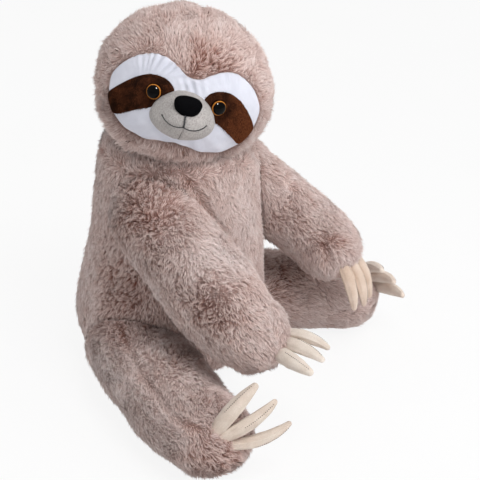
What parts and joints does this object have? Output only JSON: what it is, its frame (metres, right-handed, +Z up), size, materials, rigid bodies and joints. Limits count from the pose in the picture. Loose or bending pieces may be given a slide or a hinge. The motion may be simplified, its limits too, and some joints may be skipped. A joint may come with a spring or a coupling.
{
  "type": "plush sloth",
  "caption": "Seated stuffed sloth with a white and brown face, sewn limbs that swing at their seams and rows of felt claws on hands and feet.",
  "frame": {"origin": "centre of the flat seat under the body, on the floor", "axes": "+Z up, the body faces -Y, the sloth's right side is -X"},
  "size_m": [0.4733, 0.3832, 0.4545],
  "materials": {
    "plush": "long-pile taupe plush, pale tips over a darker root",
    "white_cloth": "smooth white velboa cloth",
    "brown_cloth": "short-pile dark brown plush",
    "suede": "fine grey-beige suede cloth",
    "black_velour": "short black velour",
    "thread": "black embroidery thread",
    "eye_plastic": "glossy, black pupil in an amber ring",
    "washer_plastic": "moulded, plain",
    "felt": "brushed cream felt with a stitched seam"
  },
  "bodies": {
    "torso": {"body": "plush"},
    "head": {"head": "plush", "face_panel": "white_cloth", "right_eye_patch": "brown_cloth", "left_eye_patch": "brown_cloth", "muzzle": "suede", "nose": "black_velour", "mouth_stitching": "thread", "right_eye": "eye_plastic", "left_eye": "eye_plastic", "right_eye_washer": "washer_plastic", "left_eye_washer": "washer_plastic"},
    "right_arm": {"right_arm": "plush"},
    "left_arm": {"left_arm": "plush"},
    "right_leg": {"right_leg": "plush"},
    "left_leg": {"left_leg": "plush"},
    "right_hand_claws": {"right_hand_claw_inner": "felt", "right_hand_claw_middle": "felt", "right_hand_claw_outer": "felt"},
    "left_hand_claws": {"left_hand_claw_inner": "felt", "left_hand_claw_middle": "felt", "left_hand_claw_outer": "felt"},
    "right_foot_claws": {"right_foot_claw_inner": "felt", "right_foot_claw_middle": "felt", "right_foot_claw_outer": "felt"},
    "left_foot_claws": {"left_foot_claw_inner": "felt", "left_foot_claw_middle": "felt", "left_foot_claw_outer": "felt"}
  },
  "joints": [
    {"name": "neck_turn", "type": "hinge", "parent": "torso", "child": "head", "pos_m": [0, -0.01, 0.3], "axis": [0, 0, 1], "range_deg": [-20, 20], "stiffness_Nm_per_rad": 3},
    {"name": "right_shoulder_lift", "type": "hinge", "parent": "torso", "child": "right_arm", "pos_m": [0, -0.031, 0.233], "axis": [-1, 0, 0], "range_deg": [-4, 22], "stiffness_Nm_per_rad": 4, "springref_deg": 1.15},
    {"name": "left_shoulder_lift", "type": "hinge", "parent": "torso", "child": "left_arm", "pos_m": [0, -0.031, 0.233], "axis": [-1, 0, 0], "range_deg": [-4, 22], "stiffness_Nm_per_rad": 4, "springref_deg": 0.86},
    {"name": "right_hip_open", "type": "hinge", "parent": "torso", "child": "right_leg", "pos_m": [-0.06, -0.006, 0], "axis": [0, 0, -1], "range_deg": [-3, 12], "stiffness_Nm_per_rad": 4},
    {"name": "left_hip_open", "type": "hinge", "parent": "torso", "child": "left_leg", "pos_m": [0.06, -0.006, 0], "axis": [0, 0, 1], "range_deg": [-3, 12], "stiffness_Nm_per_rad": 4},
    {"name": "right_hand_claws_curl", "type": "hinge", "parent": "right_arm", "child": "right_hand_claws", "pos_m": [-0.09257, -0.21988, 0.12755], "axis": [0.9703, -0.1499, 0.19], "range_deg": [-18, 22], "stiffness_Nm_per_rad": 0.1},
    {"name": "left_hand_claws_curl", "type": "hinge", "parent": "left_arm", "child": "left_hand_claws", "pos_m": [0.11584, -0.18733, 0.12613], "axis": [0.9977, -0.0071, 0.0678], "range_deg": [-18, 22], "stiffness_Nm_per_rad": 0.1},
    {"name": "right_foot_claws_curl", "type": "hinge", "parent": "right_leg", "child": "right_foot_claws", "pos_m": [-0.19636, -0.21245, 0.0668], "axis": [-0.4618, 0.2418, 0.8534], "range_deg": [-18, 22], "stiffness_Nm_per_rad": 0.1},
    {"name": "left_foot_claws_curl", "type": "hinge", "parent": "left_leg", "child": "left_foot_claws", "pos_m": [0.19764, -0.17319, 0.07138], "axis": [0.274, -0.5266, -0.8048], "range_deg": [-18, 22], "stiffness_Nm_per_rad": 0.1}
  ]
}
